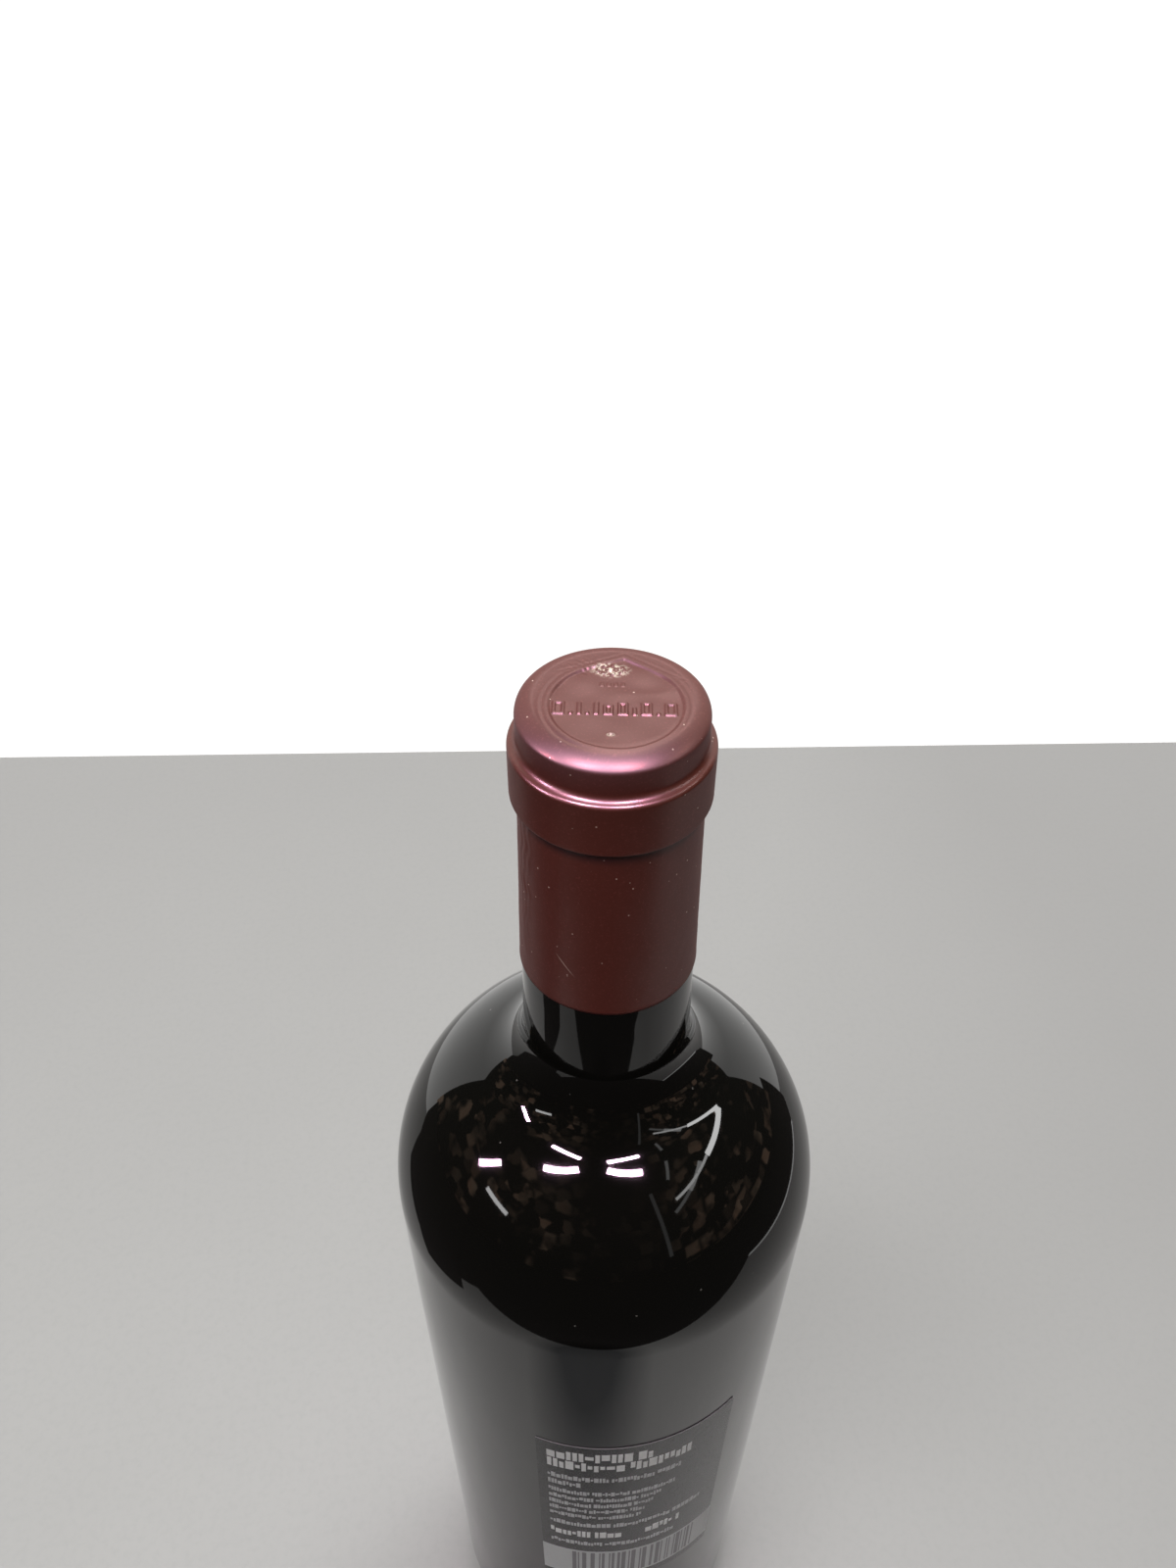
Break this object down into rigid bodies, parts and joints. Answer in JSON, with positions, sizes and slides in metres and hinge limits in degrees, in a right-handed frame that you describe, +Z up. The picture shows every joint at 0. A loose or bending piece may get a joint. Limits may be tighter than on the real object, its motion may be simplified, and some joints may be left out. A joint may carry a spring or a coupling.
{
  "type": "wine bottle",
  "caption": "Tall dark glass wine bottle with tapered body, round shoulder, burgundy foil capsule over the neck, and a dark back label with a light barcode panel.",
  "frame": {"origin": "centre of the foot, on the surface that the bottle stands on", "axes": "+Z up along the bottle's axis, from the foot to the mouth; the back label faces -Y"},
  "size_m": [0.0814, 0.0814, 0.3053],
  "materials": {
    "dark_glass": "very dark green-black glass, smooth and glossy, opaque with the red wine behind it",
    "burgundy_foil": "satin metallic burgundy foil",
    "label_paper": "dark charcoal label stock, satin",
    "label_ink": "silver-grey and pale print, matte"
  },
  "bodies": {
    "root": {"bottle": "dark_glass", "capsule": "burgundy_foil", "back_label": "label_paper"}
  },
  "joints": []
}
